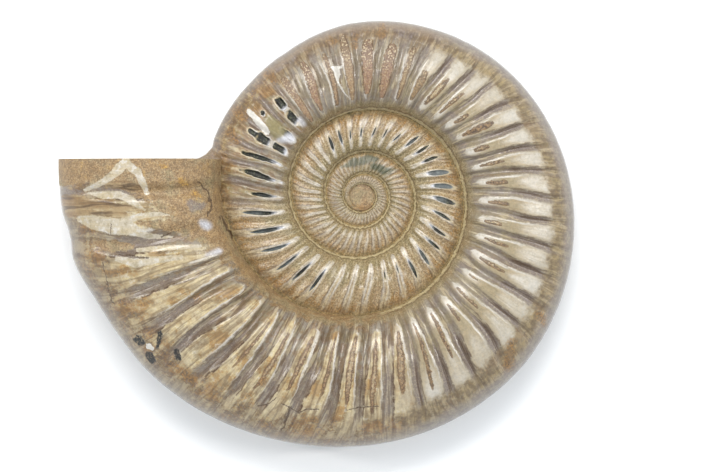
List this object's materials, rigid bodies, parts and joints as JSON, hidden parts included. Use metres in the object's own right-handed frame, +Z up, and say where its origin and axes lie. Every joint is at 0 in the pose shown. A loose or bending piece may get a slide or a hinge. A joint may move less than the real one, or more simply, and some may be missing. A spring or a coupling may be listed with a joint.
{
  "type": "polished ammonite fossil",
  "caption": "Polished ribbed ammonite fossil, an open flat coil whose whorls overlap, lying on its flank with the last whorl ending at a flat cut.",
  "frame": {"origin": "middle of the bounding box in plan, on the surface that the fossil rests on", "axes": "+Z up, out of the flank that shows; +X along the widest extent, away from the cut end; +Y towards the side that the cut faces"},
  "size_m": [0.1708, 0.141, 0.0433],
  "materials": {
    "polished_fossil": "polished calcite and limestone in cream, grey and brown, smooth with a clear gloss"
  },
  "bodies": {
    "root": {"ammonite": "polished_fossil"}
  },
  "joints": []
}
